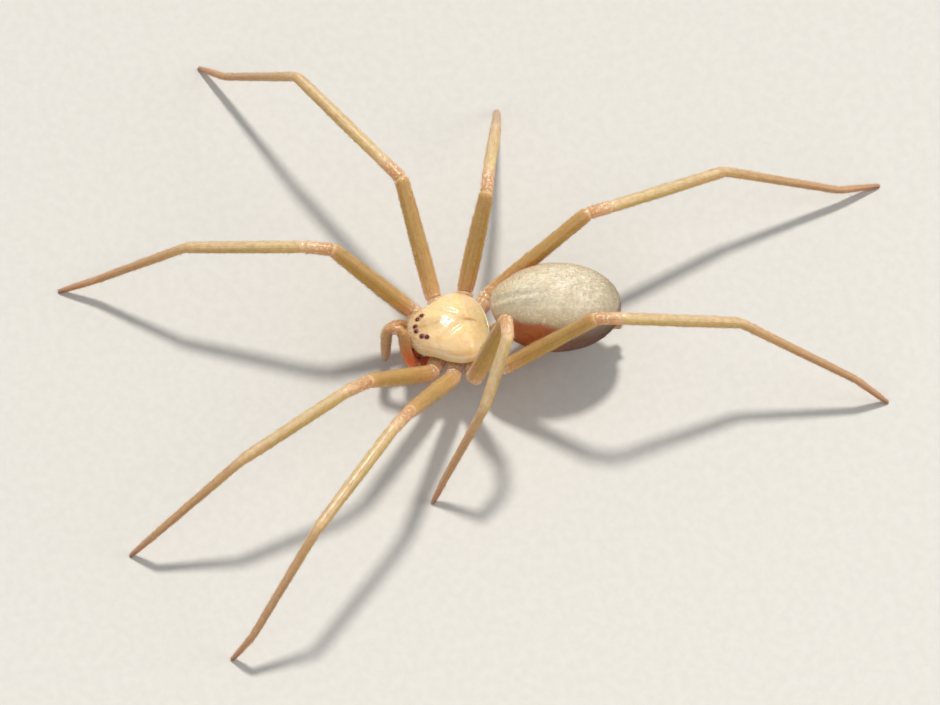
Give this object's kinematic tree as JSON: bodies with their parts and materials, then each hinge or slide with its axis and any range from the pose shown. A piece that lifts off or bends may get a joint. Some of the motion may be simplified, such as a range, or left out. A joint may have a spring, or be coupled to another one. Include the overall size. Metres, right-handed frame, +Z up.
{
  "type": "big bend recluse spider",
  "caption": "Life-size still model of a pale, long-legged recluse spider with a pear-shaped carapace and oval abdomen, standing on its leg tips.",
  "frame": {"origin": "on the floor, under the middle of the box round the whole spider", "axes": "+Z up, the head faces -Y, the spider's own left side is +X"},
  "size_m": [0.0296, 0.036, 0.007],
  "materials": {
    "carapace": "pale yellow, thin waxy shield with a faint darker violin-shaped patch",
    "underside": "smooth orange-yellow plate under the chest",
    "eye": "glossy, nearly black eye lenses",
    "fang": "hard dark brown fang",
    "jaw": "orange-red, smooth and a little glossy",
    "abdomen": "soft, greenish grey beige with short fine hair",
    "leg": "yellow-olive, slightly translucent, with fine short hair",
    "leg_tip": "orange-tan, darker to the tips, with fine short hair"
  },
  "bodies": {
    "root": {"abdomen": "abdomen", "carapace": "carapace", "chelicera_left": "jaw", "chelicera_right": "jaw", "eye_left_1": "eye", "eye_left_2": "eye", "eye_middle_1": "eye", "eye_middle_2": "eye", "eye_right_1": "eye", "eye_right_2": "eye", "fang_left": "fang", "fang_right": "fang", "leg_1_left_coxa": "leg", "leg_1_left_femur": "leg", "leg_1_left_metatarsus": "leg_tip", "leg_1_left_patella": "leg", "leg_1_left_tibia": "leg", "leg_1_right_coxa": "leg", "leg_1_right_femur": "leg", "leg_1_right_metatarsus": "leg_tip", "leg_1_right_patella": "leg", "leg_1_right_tibia": "leg", "leg_2_left_coxa": "leg", "leg_2_left_femur": "leg", "leg_2_left_metatarsus": "leg_tip", "leg_2_left_patella": "leg", "leg_2_left_tibia": "leg", "leg_2_right_coxa": "leg", "leg_2_right_femur": "leg", "leg_2_right_metatarsus": "leg_tip", "leg_2_right_patella": "leg", "leg_2_right_tibia": "leg", "leg_3_left_coxa": "leg", "leg_3_left_femur": "leg", "leg_3_left_metatarsus": "leg_tip", "leg_3_left_patella": "leg", "leg_3_left_tibia": "leg", "leg_3_right_coxa": "leg", "leg_3_right_femur": "leg", "leg_3_right_metatarsus": "leg_tip", "leg_3_right_patella": "leg", "leg_3_right_tibia": "leg", "leg_4_left_coxa": "leg", "leg_4_left_femur": "leg", "leg_4_left_metatarsus": "leg_tip", "leg_4_left_patella": "leg", "leg_4_left_tibia": "leg", "leg_4_right_coxa": "leg", "leg_4_right_femur": "leg", "leg_4_right_metatarsus": "leg_tip", "leg_4_right_patella": "leg", "leg_4_right_tibia": "leg", "palp_base_left": "leg", "palp_base_right": "leg", "palp_left": "leg_tip", "palp_right": "leg_tip", "pedicel": "underside", "spinnerets": "abdomen", "sternum": "underside"}
  },
  "joints": []
}
